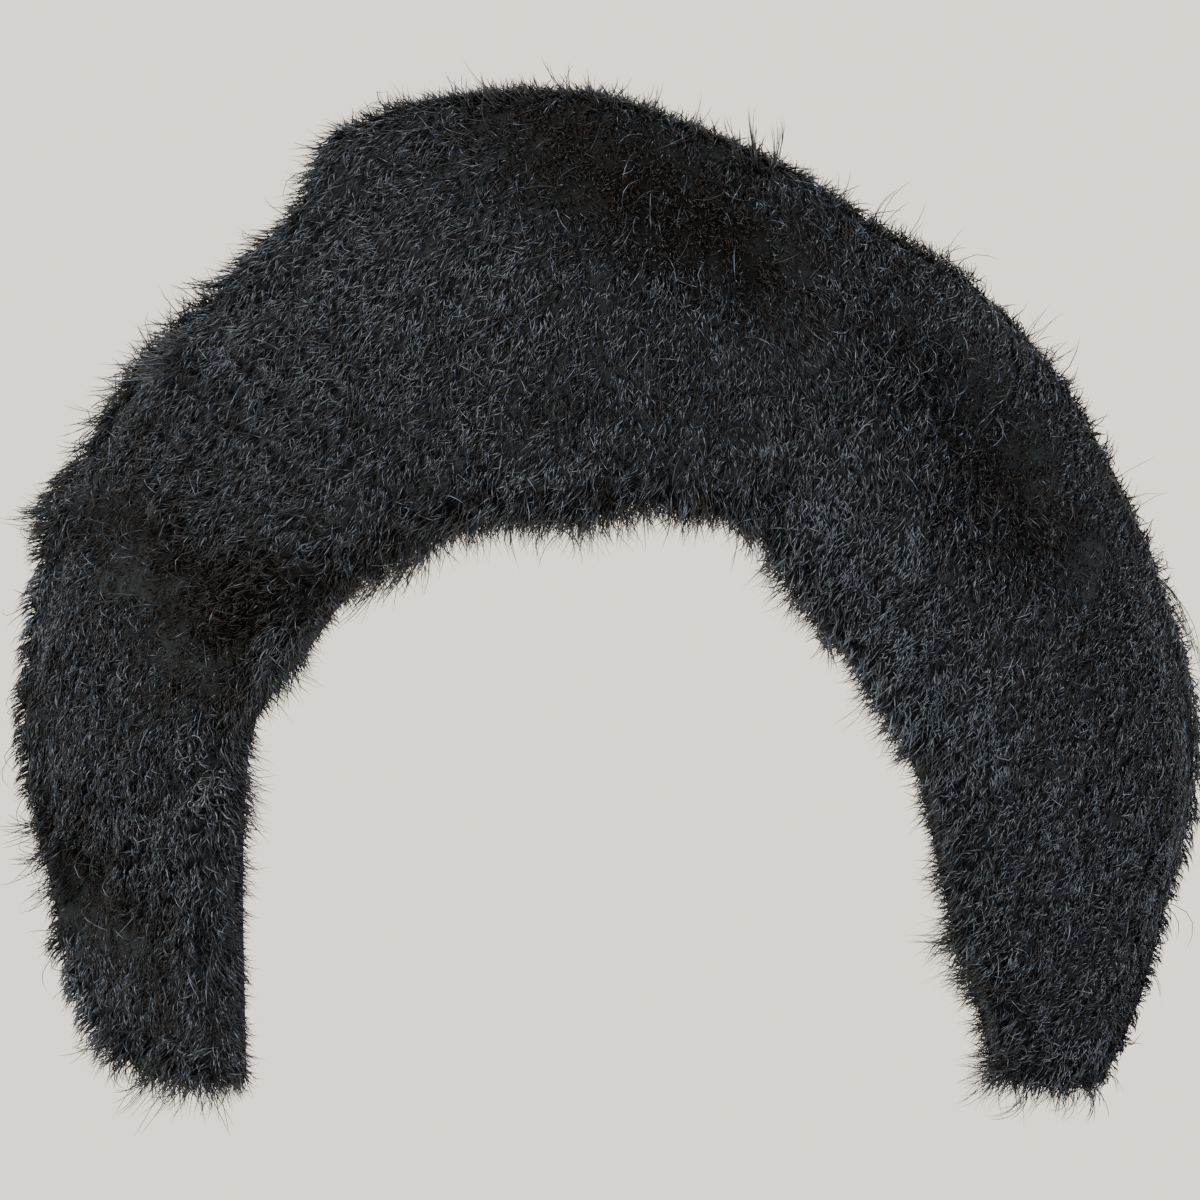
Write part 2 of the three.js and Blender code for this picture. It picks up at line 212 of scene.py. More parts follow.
net_tree = tree_of(net)
pile_tree = tree_of(pile)
net_places, net_corners = triangles_of(net)
net_triangles = net_places[net_corners]
net_crosses = np.cross(
    net_triangles[:, 1] - net_triangles[:, 0], net_triangles[:, 2] - net_triangles[:, 0]
)
net_areas = np.linalg.norm(net_crosses, axis=1) / 2
net_normals = net_crosses / np.maximum(2 * net_areas[:, None], 1e-12)
bend_axis = np.array([0, WORN_RADIUS, 0])


def outwards_at(points):
    """Away from the wearer: out from the upright axis that the net is bent round."""
    return unit((points - bend_axis) * [1, 1, 0])


facing = (net_normals * outwards_at(net_triangles.mean(axis=1))).sum(axis=1)
net_front = np.flatnonzero(facing > 0.6)
net_edges = np.flatnonzero(np.abs(facing) < 0.4)


def scatter(faces, count, random):
    """Points spread evenly over some faces of the net, and the faces' normals."""
    chance = net_areas[faces] / net_areas[faces].sum()
    chosen = random.choice(faces, count, p=chance)
    first, second = random.random((2, count, 1))
    folded = first + second > 1
    first = np.where(folded, 1 - first, first)
    second = np.where(folded, 1 - second, second)
    corner, along, across = net_triangles[chosen].transpose(1, 0, 2)
    points = corner + first * (along - corner) + second * (across - corner)
    return points, net_normals[chosen]


EDGE_MARKS = 5000
edge_marks, edge_outwards = scatter(net_edges, EDGE_MARKS, np.random.default_rng(7))


def nearest_of(points, centres):
    """The index of the nearest centre to each point, and how far away it is."""
    tree = KDTree(len(centres))
    for index, centre in enumerate(centres):
        tree.insert(centre, index)
    tree.balance()
    found = [tree.find(point)[1:] for point in points]
    return np.array([index for index, _ in found]), np.array([away for _, away in found])


HIGHEST_HAIR = 9 * MM


def pile_height(points, normals):
    """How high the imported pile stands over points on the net, or nothing where it is bare."""
    heights = np.full(len(points), np.nan)
    starts = points + HIGHEST_HAIR * normals
    for index, (start, normal) in enumerate(zip(starts, normals)):
        distance = pile_tree.ray_cast(start, -normal, 1.4 * HIGHEST_HAIR)[3]
        if distance is not None:
            heights[index] = HIGHEST_HAIR - distance
    return heights


# Hairs as closed three-sided tubes that taper to a point
SIDES = 3


def tube_faces(rings):
    """The triangles of one hair: its root's cap, its sides and its point."""
    faces = [(2, 1, 0)]
    for ring in range(rings - 1):
        for side in range(SIDES):
            low, low_next = ring * SIDES + side, ring * SIDES + (side + 1) % SIDES
            high, high_next = low + SIDES, low_next + SIDES
            faces += [(low, low_next, high_next), (low, high_next, high)]
    last = (rings - 1) * SIDES
    faces += [(last + side, last + (side + 1) % SIDES, rings * SIDES) for side in range(SIDES)]
    return np.array(faces)


def tube_points(paths, widths, normals):
    """The corners of every hair, from the points along its middle and its width at all but the last."""
    tangents = np.gradient(paths, axis=1)[:, :-1]
    across = np.cross(tangents, normals[:, None, :])
    across /= np.linalg.norm(across, axis=2, keepdims=True) + 1e-12
    above = np.cross(across, tangents)
    above /= np.linalg.norm(above, axis=2, keepdims=True) + 1e-12
    turns = 2 * np.pi * np.arange(SIDES) / SIDES + np.pi / 2
    spokes = across[:, :, None] * np.cos(turns)[:, None] + above[:, :, None] * np.sin(turns)[:, None]
    rings = paths[:, :-1, None] + spokes * widths[:, :, None, None] / 2
    return np.concatenate([rings.reshape(len(paths), -1, 3), paths[:, -1:]], axis=1)


def hair_piece(name, strands, material):
    """One mesh of many hairs. Its UV map holds each hair's own shade, and the share along it."""
    corners, faces, hairs, shares = [], [], [], []
    first = 0
    for paths, widths, normals, shades in strands:
        points = tube_points(paths, widths, normals)
        count, size, _ = points.shape
        rings = paths.shape[1] - 1
        template = tube_faces(rings)
        faces.append((template + first + size * np.arange(count)[:, None, None]).reshape(-1, 3))
        corners.append(points.reshape(-1, 3))
        along = np.append(np.repeat(np.arange(rings) / rings, SIDES), 1.0)
        shares.append(np.tile(along, count))
        hairs.append(np.repeat(shades, size))
        first += count * size
    corners, faces = np.concatenate(corners), np.concatenate(faces)
    mesh = bpy.data.meshes.new(name)
    mesh.vertices.add(len(corners))
    mesh.vertices.foreach_set("co", corners.ravel())
    mesh.loops.add(faces.size)
    mesh.loops.foreach_set("vertex_index", faces.ravel())
    mesh.polygons.add(len(faces))
    mesh.polygons.foreach_set("loop_start", np.arange(0, faces.size, 3))
    mesh.polygons.foreach_set("use_smooth", np.ones(len(faces), bool))
    mesh.update(calc_edges=True)
    uv = np.column_stack([np.concatenate(hairs), np.concatenate(shares)])[faces.ravel()]
    mesh.uv_layers.new(name="hair").uv.foreach_set("vector", uv.ravel())
    mesh.materials.append(material)
    piece = bpy.data.objects.new(name, mesh)
    bpy.context.scene.collection.objects.link(piece)
    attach(piece, "root")


# The way that hair runs from its root, and how it gathers into small tufts
TUFTS = 2600
TUFT_PULL = 0.5
STAND_SCATTER = 0.14
MOST_UPRIGHT = 0.97
LIE_SPREAD = 0.42
UPRIGHT_LIE_SPREAD = 0.5
TIP_LEAN = 0.8
EDGE_SWEEP = 1.6
UPRIGHT_SHORTENS = 0.6
UPRIGHT_SINKS = 0.22
# How much the stand paints each hair's shade darker, or lighter where it is negative: painted shade and
# painted sheen.
STAND_PAINTS_SHADE_AND_SHEEN = 0.55

# Where there is no packed pile, hair grows this high, and lower still towards the cut edge
SPARSE_HEIGHT = 2.6 * MM
SPARSE_RIM_SHARE = 0.4
LEAST_HEIGHT = 1.0 * MM
LEAST_CLIMB = 0.6 * MM
EDGE_BAND = 1.8 * MM
FRINGE_REACH = 2.4 * MM
ROOT_DEPTH = 0.3 * MM

# The underfur's shares of the pile's height
UNDERFUR_SHARE = 0.76
UNDERFUR_RIM_SHARE = 0.26
UNDERFUR_TURNED_SHARE = 0.9
HOLLOW_DEPTH = 0.35
UNDERFUR_RIM = 1.6 * EDGE_BAND

# The cosine of the slant at which the net starts to turn away, and over how much of it that grows
TURNS_AWAY_BELOW = 0.65
TURNS_AWAY_OVER = 0.3


def turned_away(normals):
    """From 0 to 1, how far the net turns its front away from the photograph's point of view."""
    return np.clip((TURNS_AWAY_BELOW - normals @ view_back) / TURNS_AWAY_OVER, 0, 1)


def underfur_share(from_edge, normals, upright):
    """The underfur's share of the pile's height: less at the edge and in hollows, more at the sides."""
    inside = np.clip(from_edge / UNDERFUR_RIM, 0, 1)
    share = UNDERFUR_RIM_SHARE + (UNDERFUR_SHARE - UNDERFUR_RIM_SHARE) * inside * (2 - inside)
    share = share + (UNDERFUR_TURNED_SHARE - share) * turned_away(normals)
    return share * (1 - HOLLOW_DEPTH * upright)


def heading_at(normals, lie):
    """The direction along the net in which a hair that also rises a little shows at this lie."""
    forwards = -view_back
    depth = (normals @ forwards)[:, None]
    combed = -np.cos(lie)[:, None] * view_up - np.sin(lie)[:, None] * view_right
    laid_flat = combed - (combed * normals).sum(axis=1, keepdims=True) * normals
    seen = combed - TIP_LEAN * (normals - depth * forwards)
    seen -= forwards * (seen * normals).sum(axis=1, keepdims=True) / np.minimum(depth, -0.35)
    flat_share = turned_away(normals)[:, None]
    return unit((1 - flat_share) * unit(seen) + flat_share * unit(laid_flat))


# Where the fuzz at the edges grows longer than its usual length, and by how much. A negative row is
# a place where it is shorter.
LONG_FUZZ = [
    # across, down, radius, more
    (26, 830, 45, 1.8), (50, 900, 45, 1.1), (70, 970, 45, 0.5), (110, 1050, 50, 0.9),
    (190, 1090, 50, 1.5), (1010, 1090, 40, 1.6), (1080, 1095, 40, 1.6), (470, 535, 50, 0.8),
    (560, 530, 50, 1.4), (650, 515, 50, 1.4), (385, 575, 50, 1.2), (790, 585, 50, 1.1),
    (880, 720, 50, 0.6), (955, 940, 60, 1.0), (540, 90, 90, 0.6), (370, 110, 50, 0.9),
    (165, 310, 60, 1.8), (90, 430, 60, 2.0), (830, 190, 70, 0.4), (930, 255, 60, 0.4),
    (1070, 385, 50, 1.4), (28, 510, 30, 0.6), (250, 790, 50, 1.0), (285, 680, 40, 0.8),
    (1140, 960, 40, -0.5), (1122, 1015, 36, -0.7), (1112, 1065, 30, -0.8),
]


def longer_at(points):
    return 1 + soft_spots(points, LONG_FUZZ)


def bent(bend, shares):
    """How far a bend takes each hair aside at shares of its length. Both ends stay where they are."""
    return bend[:, None] * (shares[:, None] ** 2 - shares[:, None])


def pile_hairs(count, steps, reach, width, rise_over, seed):
    """Hairs rooted all over the underfur. They lie along the comb and end at the pile's own height."""
    random = np.random.default_rng(seed)
    roots, normals = scatter(net_front, count, random)
    height = pile_height(roots, normals)
    mark, from_edge = nearest_of(roots, edge_marks)
    from_rim = np.minimum(from_edge / EDGE_BAND, 1)
    sparse = SPARSE_HEIGHT * (SPARSE_RIM_SHARE + (1 - SPARSE_RIM_SHARE) * from_rim)
    height = np.where(np.isnan(height), sparse, height)
    kept = height > LEAST_HEIGHT
    roots, normals, height = roots[kept], normals[kept], height[kept]
    mark, from_edge = mark[kept], from_edge[kept]
    count = len(roots)

    # Which way each hair heads: combed, a little at random, and outwards where it grows by the edge
    tufts, _ = nearest_of(roots, tuft_roots)
    stand = stand_at(roots) + STAND_SCATTER * random.normal(size=count) + tuft_lift[tufts]
    stand = np.clip(stand, MOST_PAINTED_SHEEN, MOST_UPRIGHT)
    upright = np.maximum(stand, 0)
    lie_spread = LIE_SPREAD + UPRIGHT_LIE_SPREAD * upright
    lie = lie_at(roots) + tuft_turn[tufts] + lie_spread * random.normal(size=count)
    lie += 0.16 * soft_noise(roots, 7 * MM, seed)
    headings = heading_at(normals, lie)
    outwards = edge_outwards[mark]
    with_comb = (headings * outwards).sum(axis=1)
    by_edge = np.clip(1.2 - from_edge / EDGE_BAND, 0, 1)
    swept = by_edge * np.clip(0.9 - with_comb, 0, 1) * random.random(count)
    headings = unit(headings + EDGE_SWEEP * swept[:, None] * outwards)

    # How far it reaches along the net, and further where it hangs over the edge as fringe
    varied = (1 + 0.30 * random.normal(size=count)).clip(0.4, 1.8)
    reaches = reach * varied * (1 - UPRIGHT_SHORTENS * upright)
    fringe = FRINGE_REACH * np.clip(1.3 - from_edge / EDGE_BAND, 0, 1) * with_comb.clip(0, 1)
    reaches += fringe * random.random(count)
    reaches *= np.minimum(longer_at(roots), 1)

    # How high it climbs: from just under the underfur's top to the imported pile's own height
    floor_share = underfur_share(from_edge, normals, upright)
    starts = roots + normals * (floor_share * height - ROOT_DEPTH)[:, None]
    ends = roots + headings * reaches[:, None]
    end_height = pile_height(ends, normals)
    outside = np.isnan(end_height)
    end_height = np.where(outside, 0.75 * height, end_height)
    rise = 0.55 * end_height + 0.45 * height + rise_over * (1 + 0.8 * random.normal(size=count))
    rise *= 1 - UPRIGHT_SINKS * upright
    climb = np.maximum(rise - floor_share * height + ROOT_DEPTH, LEAST_CLIMB)

    # The path between: drawn a little towards the middle of its tuft, and bent
    gathered = tuft_roots[tufts] + headings * reaches[:, None] - roots
    gathered -= normals * (gathered * normals).sum(axis=1)[:, None]
    straight = headings * reaches[:, None]
    pull = TUFT_PULL * random.random(count)[:, None]
    flat_run = straight + pull * (gathered - straight)
    aside = np.cross(normals, headings)
    bend = 0.25 * random.normal(size=count)[:, None] * reaches[:, None] * aside
    shares = np.linspace(0, 1, steps) ** 0.85
    fullness = 1 - (1 - shares) ** 1.8
    paths = (
        starts[:, None]
        + flat_run[:, None] * shares[:, None] ** 1.25
        + bent(bend, shares)
        + normals[:, None] * climb[:, None, None] * fullness[:, None]
    )
    thick = width * (1 + 0.22 * random.normal(size=count)).clip(0.5, 1.6)
    taper = np.linspace(1, 0.85, steps - 1)
    shades = random.uniform(0.15, 1, count) + tuft_shade[tufts]
    # Painted light: the stand paints the hair darker in hollows and under the nose (painted shade and
    # painted shadow), and lighter where it is negative (painted sheen).
    shades -= STAND_PAINTS_SHADE_AND_SHEEN * stand * (random.random(count) > 0.1)
    return paths, thick[:, None] * taper, normals, shades.clip(0.01, 0.99)


tuft_random = np.random.default_rng(11)
tuft_roots, _ = scatter(net_front, TUFTS, tuft_random)
tuft_turn = 0.20 * tuft_random.normal(size=TUFTS)
tuft_lift = 0.12 * tuft_random.normal(size=TUFTS)
tuft_shade = 0.08 * tuft_random.normal(size=TUFTS)


def edge_roots(count, random):
    """Roots all over the cut edge of the net, the ways out and to the front, and where pile stands."""
    roots, outwards = scatter(net_edges, count, random)
    front = outwards_at(roots)
    covered = ~np.isnan(pile_height(roots - 0.9 * MM * outwards, front))
    return roots, outwards, front, covered


def edge_hairs(count, reach, width, seed):
    """Short fuzz that grows out of the cut edge in small clumps, thick where the pile reaches it."""
    random = np.random.default_rng(seed)
    roots, outwards, front, covered = edge_roots(count, random)
    kept = covered | (random.random(count) < 0.6)
    roots, outwards, front, covered = roots[kept], outwards[kept], front[kept], covered[kept]
    count = len(roots)
    clumps = 0.6 * soft_noise(roots, 1.4 * MM, seed) + 0.4 * soft_noise(roots, 0.6 * MM, seed + 1)
    forwards = np.where(random.random(count) < 0.55, random.uniform(-0.2, 2.6, count), 0) * covered
    roots = roots + front * forwards[:, None] * MM - 0.2 * MM * outwards
    combed = heading_at(front, lie_at(roots) + 0.35 * random.normal(size=count))
    with_comb = (combed * outwards).sum(axis=1).clip(-0.2, 1)
    heading = unit(
        0.7 * combed + (0.8 - 0.4 * with_comb)[:, None] * outwards - 0.2 * front
        + 0.5 * random.normal(size=(count, 3))
    )
    reaches = reach * (0.7 + 0.5 * with_comb.clip(0, 1)) * random.uniform(0.4, 1.3, count)
    reaches *= (1 + 0.8 * clumps) * longer_at(roots) * np.where(covered, 1, 0.8)
    shares = np.linspace(0, 1, 3)
    bend = 0.35 * random.normal(size=(count, 3)) * reaches[:, None]
    paths = (
        roots[:, None]
        + (heading * reaches[:, None])[:, None] * shares[:, None]
        + bent(bend, shares)
        + front[:, None] * (0.7 * MM * shares * (1 - shares))[:, None]
    )
    thick = width * (1 + 0.2 * random.normal(size=count)).clip(0.5, 1.5)
    return paths, thick[:, None] * np.array([1, 0.85]), front, random.uniform(0.01, 0.95, count)


def cut_threads(count, reach, width, seed):
    """The cut ends of the net's own threads, which stick out in small clumps along its bare edge."""
    random = np.random.default_rng(seed)
    roots, outwards, front, covered = edge_roots(count, random)
    clumps = soft_noise(roots, 0.9 * MM, seed)
    kept = ~covered & (clumps > -0.05)
    roots, outwards, front, clumps = roots[kept], outwards[kept], front[kept], clumps[kept]
    count = len(roots)
    heading = unit(outwards + 0.6 * random.normal(size=(count, 3)))
    reaches = reach * (0.35 + 1.3 * clumps) * random.uniform(0.5, 1.2, count)
    shares = np.linspace(0, 1, 4)
    bend = 1.4 * random.normal(size=(count, 3)) * reaches[:, None]
    paths = (
        (roots - 0.3 * MM * outwards)[:, None]
        + (heading * (reaches + 0.3 * MM)[:, None])[:, None] * shares[:, None]
        + bent(bend, shares)
    )
    # The random shades paint some threads pale: painted highlight of the light from behind.
    return paths, width * np.ones((count, 3)), front, random.uniform(0.05, 0.6, count)


def thread_loops(count, width, steps, seed):
    """Loops of the net's thread that stand open at its bare edge."""
    random = np.random.default_rng(seed)
    roots, outwards, front, covered = edge_roots(8 * count, random)
    roots, outwards, front = (part[~covered][:count] for part in (roots, outwards, front))
    count = len(roots)
    along = np.cross(front, outwards) + 0.5 * random.uniform(-1, 1, (count, 1)) * front
    turns = 2 * np.pi * np.linspace(0.1, 0.9, steps)
    size = random.uniform(0.2, 0.6, count)[:, None, None] * MM
    size = size * (1 + 0.4 * random.normal(size=(count, steps, 1)))
    paths = (
        (roots + 0.35 * MM * outwards)[:, None]
        + size * (-np.cos(turns)[:, None] * outwards[:, None] + np.sin(turns)[:, None] * along[:, None])
    )
    return paths, width * np.ones((count, steps - 1)), front, random.uniform(0.1, 0.6, count)


# Colours as they are written for the screen, turned to the linear values that shaders take
def linear(hex_colour):
    channels = [int(hex_colour[start : start + 2], 16) / 255 for start in (1, 3, 5)]
    curve = [c / 12.92 if c <= 0.04045 else ((c + 0.055) / 1.055) ** 2.4 for c in channels]
    return (*curve, 1.0)


def add_node(tree, kind, inputs=None, **settings):
    """A node with its settings. An input is a plain value, or the socket that feeds it."""
    node = tree.nodes.new(kind)
    for name, value in settings.items():
        setattr(node, name, value)
    for socket, value in (inputs or {}).items():
        if isinstance(value, bpy.types.NodeSocket):
            tree.links.new(value, node.inputs[socket])
        else:
            node.inputs[socket].default_value = value
    return node


def new_material(name):
    material = bpy.data.materials.new(name)
    material.use_nodes = True
    material.node_tree.nodes.clear()
    return material, material.node_tree


def set_stops(ramp, stops):
    elements = ramp.color_ramp.elements
    while len(elements) < len(stops):
        elements.new(0.5)
    for element, (place, colour) in zip(elements, stops):
        element.position = place
        element.color = linear(colour)


def finish_material(tree, shader):
    add_node(tree, "ShaderNodeOutputMaterial", {"Surface": shader.outputs[0]})


# How often the painted glint comes and goes along one hair, and how far apart two hairs are in that noise
PAINTED_GLINTS = 4.5
HAIR_TO_HAIR = 900

# The sockets of a colour mix
MIX_SHARE, MIX_FIRST, MIX_SECOND = 0, 6, 7


def modacrylic_hair():
    """Spun modacrylic fibre, dyed black. Each hair's shade runs from warm brown-black to a pale cool grey.
    The spread is partly random tone and partly painted light: painted shade, warm, where it is darkest,
    and painted highlight, cool, where it shines.

    The shade of each hair is its own, and goes on changing in a few soft painted glints along it.
    """
    material, tree = new_material("modacrylic_hair")
    uv = add_node(tree, "ShaderNodeUVMap", uv_map="hair")
    parts = add_node(tree, "ShaderNodeSeparateXYZ", {"Vector": uv.outputs["UV"]})
    along = add_node(tree, "ShaderNodeMapping", {
        "Vector": uv.outputs["UV"], "Scale": (HAIR_TO_HAIR, PAINTED_GLINTS, 1),
    })
    # Painted highlight: soft glints that come and go along each hair.
    painted_glints = add_node(tree, "ShaderNodeTexNoise", {
        "Vector": along.outputs[0], "Scale": 1.0, "Detail": 0.0,
    }, noise_dimensions="2D")
    level = add_node(tree, "ShaderNodeMath", {
        0: painted_glints.outputs[0], 1: 1.2, 2: parts.outputs["X"],
    }, operation="MULTIPLY_ADD")
    lit = add_node(tree, "ShaderNodeMath", {0: level.outputs[0], 1: 0.6}, operation="SUBTRACT")
    shade = add_node(tree, "ShaderNodeValToRGB", {"Fac": lit.outputs[0]})
    # Painted light: warm dark stops for painted shade, cool pale stops for painted highlight.
    set_stops(shade, [
        (0.0, "#241d17"), (0.2, "#2c2723"), (0.45, "#323232"),
        (0.75, "#383c42"), (0.92, "#464c54"), (1.0, "#686f78"),
    ])
    # Painted shade: each hair is painted darker towards its root, as the shade deep in the pile.
    root = add_node(tree, "ShaderNodeValToRGB", {"Fac": parts.outputs["Y"]})
    set_stops(root, [(0.0, "#a8a8a8"), (0.3, "#d4d4d4"), (0.6, "#ffffff")])
    colour = add_node(tree, "ShaderNodeMix", {
        MIX_SHARE: 1.0, MIX_FIRST: shade.outputs[0], MIX_SECOND: root.outputs[0],
    }, data_type="RGBA", blend_type="MULTIPLY")
    shader = add_node(tree, "ShaderNodeBsdfPrincipled", {
        "Base Color": colour.outputs[2], "Roughness": 0.42, "IOR": 1.5, "Specular IOR Level": 0.25,
    })
    finish_material(tree, shader)
    return material


def sprung_ends():
    """Fibre ends glazed by heat, which have sprung open: paler than the rest, and greyer, with pale
    painted glints along them.
    """
    material, tree = new_material("sprung_ends")
    uv = add_node(tree, "ShaderNodeUVMap", uv_map="hair")
    along = add_node(tree, "ShaderNodeMapping", {
        "Vector": uv.outputs["UV"], "Scale": (HAIR_TO_HAIR, 3 * PAINTED_GLINTS, 1),
    })
    painted_glints = add_node(tree, "ShaderNodeTexNoise", {
        "Vector": along.outputs[0], "Scale": 1.0, "Detail": 1.0,
    }, noise_dimensions="2D")
    colour = add_node(tree, "ShaderNodeValToRGB", {"Fac": painted_glints.outputs[0]})
    # Painted highlight: the noise along each curl paints pale glints on a dark ground.
    set_stops(colour, [(0.3, "#191a1b"), (0.5, "#333538"), (0.72, "#6b6f74")])
    shader = add_node(tree, "ShaderNodeBsdfPrincipled", {
        "Base Color": colour.outputs[0], "Roughness": 0.35, "IOR": 1.5,
    })
    finish_material(tree, shader)
    return material


def polyester_thread():
    """Textured polyester yarn, dyed black and matt. Each thread is painted its own shade from black to a
    pale warm grey: painted highlight of the light from behind the bare edge.
    """
    material, tree = new_material("polyester_thread")
    uv = add_node(tree, "ShaderNodeUVMap", uv_map="hair")
    parts = add_node(tree, "ShaderNodeSeparateXYZ", {"Vector": uv.outputs["UV"]})
    colour = add_node(tree, "ShaderNodeValToRGB", {"Fac": parts.outputs["X"]})
    # Painted highlight: higher shades give paler, warmer threads.
    set_stops(colour, [(0.0, "#0f0f0f"), (0.6, "#4a4a46"), (0.9, "#a8a69a")])
    shader = add_node(tree, "ShaderNodeBsdfPrincipled", {
        "Base Color": colour.outputs[0], "Roughness": 0.7,
    })
    finish_material(tree, shader)
    return material


def underfur_black():
    """The crimped lower part of the same fibre: a mottled matt felt, painted warmer and blacker in the
    hollows and under the nose as painted shade.
    """
    material, tree = new_material("underfur_black")
    place = add_node(tree, "ShaderNodeTexCoord")
    mottling = add_node(tree, "ShaderNodeTexNoise", {
        "Vector": place.outputs["Object"], "Scale": 1 / (0.6 * MM), "Detail": 4.0, "Roughness": 0.6,
    })
    colour = add_node(tree, "ShaderNodeValToRGB", {"Fac": mottling.outputs[0]})
    set_stops(colour, [(0.3, "#1c1e20"), (0.75, "#2e3235")])
    uv = add_node(tree, "ShaderNodeUVMap", uv_map="hollow")
    parts = add_node(tree, "ShaderNodeSeparateXYZ", {"Vector": uv.outputs["UV"]})
    # Painted shade: the stand mixes the felt towards warm black in hollows and under the nose.
    painted_hollow_shade = add_node(tree, "ShaderNodeMix", {
        MIX_SHARE: parts.outputs["X"], MIX_FIRST: colour.outputs[0], MIX_SECOND: linear("#0c0907"),
    }, data_type="RGBA")
    bump = add_node(tree, "ShaderNodeBump", {
        "Height": mottling.outputs[0], "Strength": 0.8, "Distance": 0.4 * MM,
    })
    shader = add_node(tree, "ShaderNodeBsdfPrincipled", {
        "Base Color": painted_hollow_shade.outputs[2], "Roughness": 0.85, "Specular IOR Level": 0.2,
        "Normal": bump.outputs[0],
    })
    finish_material(tree, shader)
    return material


NET_PITCH = 1.1 * MM


def knitted_net():
    """Warp-knitted polyester net, dyed black: matt threads round small dark openings, in rows."""
    material, tree = new_material("knitted_net")
    place = add_node(tree, "ShaderNodeTexCoord")
    parts = add_node(tree, "ShaderNodeSeparateXYZ", {"Vector": place.outputs["Object"]})
    ahead = add_node(tree, "ShaderNodeMath", {
        0: WORN_RADIUS, 1: parts.outputs["Y"],
    }, operation="SUBTRACT")
    turn = add_node(tree, "ShaderNodeMath", {
        0: parts.outputs["X"], 1: ahead.outputs[0],
    }, operation="ARCTAN2")
    around = add_node(tree, "ShaderNodeMath", {
        0: turn.outputs[0], 1: WORN_RADIUS,
    }, operation="MULTIPLY")
    flat = add_node(tree, "ShaderNodeCombineXYZ", {"X": around.outputs[0], "Y": parts.outputs["Z"]})
    cells = add_node(tree, "ShaderNodeTexVoronoi", {
        "Vector": flat.outputs[0], "Scale": 1 / NET_PITCH, "Randomness": 0.25,
    }, voronoi_dimensions="2D")
    threads = add_node(tree, "ShaderNodeMapRange", {
        "Value": cells.outputs["Distance"], "From Min": 0.22, "From Max": 0.45,
    }, interpolation_type="SMOOTHSTEP")
    fibres = add_node(tree, "ShaderNodeTexNoise", {
        "Vector": place.outputs["Object"], "Scale": 1 / (0.25 * MM), "Detail": 3.0,
    })
    height = add_node(tree, "ShaderNodeMath", {
        0: fibres.outputs[0], 1: 0.35, 2: threads.outputs[0],
    }, operation="MULTIPLY_ADD")
    colour = add_node(tree, "ShaderNodeValToRGB", {"Fac": height.outputs[0]})
    set_stops(colour, [(0.1, "#040405"), (0.7, "#141517"), (1.0, "#212326")])
    bump = add_node(tree, "ShaderNodeBump", {
        "Height": height.outputs[0], "Strength": 1.0, "Distance": 0.35 * MM,
    })
    shader = add_node(tree, "ShaderNodeBsdfPrincipled", {
        "Base Color": colour.outputs[0], "Roughness": 0.75, "Specular IOR Level": 0.25,
        "Normal": bump.outputs[0],
    })
    finish_material(tree, shader)
    return material


net.data.materials.clear()
net.data.materials.append(knitted_net())


# The underfur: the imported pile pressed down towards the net, so it keeps that form
EDGE_PULL = 0.2


def add_underfur():
    underfur = pile.copy()
    underfur.data = pile.data.copy()
    underfur.name = "underfur"
    underfur.data.name = "underfur"
    bpy.context.scene.collection.objects.link(underfur)
    bpy.ops.object.select_all(action="DESELECT")
    underfur.select_set(True)
    bpy.context.view_layer.objects.active = underfur
    bpy.ops.object.mode_set(mode="EDIT")
    bpy.ops.mesh.select_all(action="SELECT")
    bpy.ops.mesh.remove_doubles(threshold=0.01 * MM)
    bpy.ops.object.mode_set(mode="OBJECT")
    for key in list(underfur.keys()):
        del underfur[key]
    underfur.parent = None
    mesh = underfur.data
    places = np.empty(len(mesh.vertices) * 3)
    mesh.vertices.foreach_get("co", places)
    places = places.reshape(-1, 3)
    seats = np.array([net_tree.find_nearest(place)[0] for place in places])
    outwards = outwards_at(seats)
    away = places - seats
    height = (away * outwards).sum(axis=1)[:, None]
    beside = away - height * outwards
    stand = np.maximum(stand_at(places), 0)[:, None]
    _, from_edge = nearest_of(seats, edge_marks)
    share = underfur_share(from_edge, outwards, stand[:, 0])[:, None]
    places = seats + share * height * outwards + EDGE_PULL * beside
    mesh.vertices.foreach_set("co", places.ravel())
    mesh.update()
    _, corners = triangles_of(underfur)
    # The stand goes to the material, which paints shade into the hollows with it.
    hollow = np.column_stack([stand[:, 0], stand[:, 0]])[corners.ravel()]
    mesh.uv_layers.new(name="hollow").uv.foreach_set("vector", hollow.ravel())
    mesh.materials.clear()
    mesh.materials.append(underfur_black())
    mesh.polygons.foreach_set("use_smooth", np.ones(len(mesh.polygons), bool))
    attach(underfur, "root")
    return underfur


underfur = add_underfur()
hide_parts("hair_pile")

hair = modacrylic_hair()
SHORT_HAIRS = 61800
LONG_HAIRS = 2500
EDGE_HAIRS = 29000
CUT_THREADS = 7000
THREAD_LOOPS = 60
short = pile_hairs(SHORT_HAIRS, steps=3, reach=1.45 * MM, width=0.12 * MM, rise_over=0, seed=3)
long = pile_hairs(LONG_HAIRS, steps=4, reach=2.6 * MM, width=0.10 * MM, rise_over=0.3 * MM, seed=4)
PIECES = ["hair_left_tail", "hair_left_side", "hair_over_lip", "hair_right_side", "hair_right_tail"]
ARCH_MIDDLE = -40 * MM


def share_round_arch(strands):
    """Splits hairs into equal lots, by their place round the arch from one tail to the other."""
    roots = strands[0][:, 0]
    order = np.argsort(np.arctan2(roots[:, 0], roots[:, 2] - ARCH_MIDDLE))
    return [tuple(part[lot] for part in strands) for lot in np.array_split(order, len(PIECES))]


